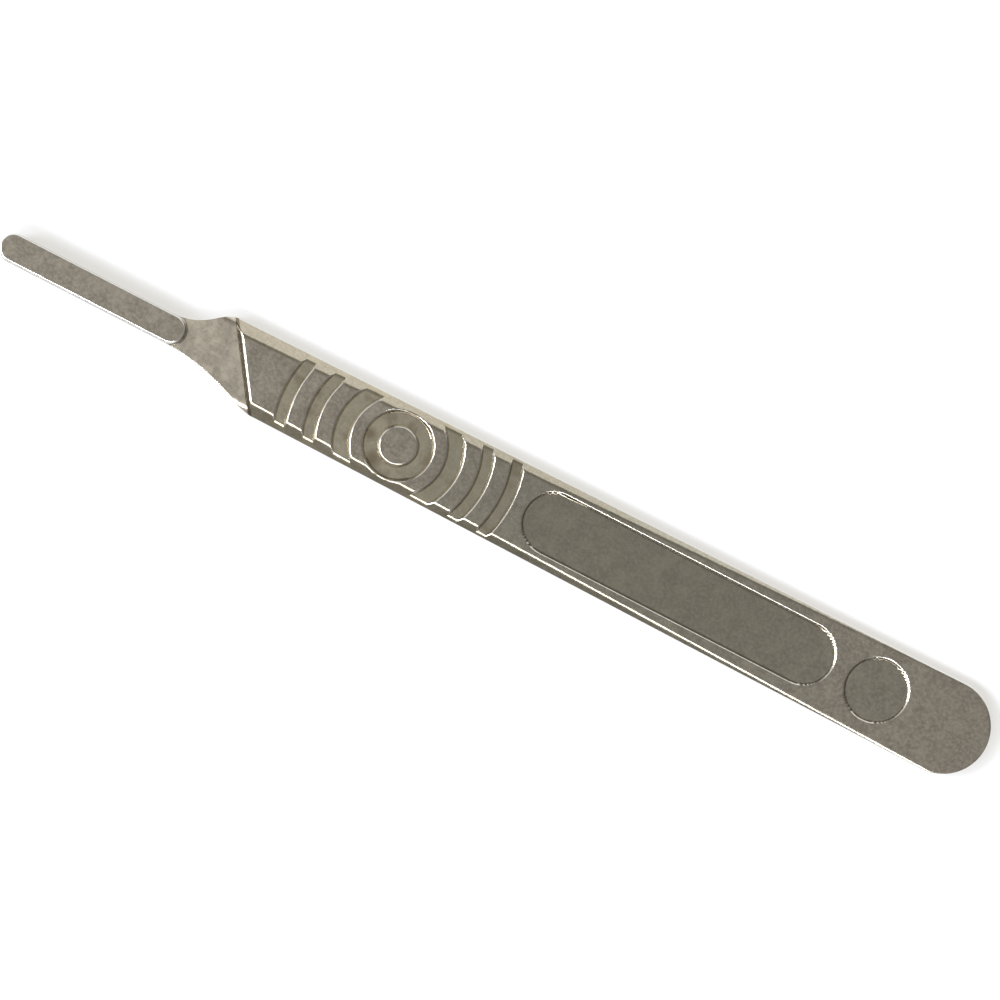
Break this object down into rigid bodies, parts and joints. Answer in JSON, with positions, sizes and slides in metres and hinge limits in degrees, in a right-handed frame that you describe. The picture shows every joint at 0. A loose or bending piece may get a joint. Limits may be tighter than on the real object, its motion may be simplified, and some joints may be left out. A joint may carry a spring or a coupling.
{
  "type": "scalpel handle",
  "caption": "Flat metal scalpel handle: a raised key that a detachable blade slides over, a slanting shoulder, a grip of concentric ribs on both faces, a bare marking panel and a round tail.",
  "frame": {"origin": "on the plane that the back face lies on, under the middle of the length and of the width", "axes": "+X runs from the blade's end to the tail, +Z out of the front face with the key and the panel, +Y to the side where the shoulder comes nearest to the blade's end"},
  "size_m": [0.135, 0.0118, 0.0039],
  "materials": {
    "handle_metal": "satin, fine matt grain with brighter rounded edges and faint brown stains in the grooves"
  },
  "bodies": {
    "root": {"scalpel_handle": "handle_metal"}
  },
  "joints": []
}
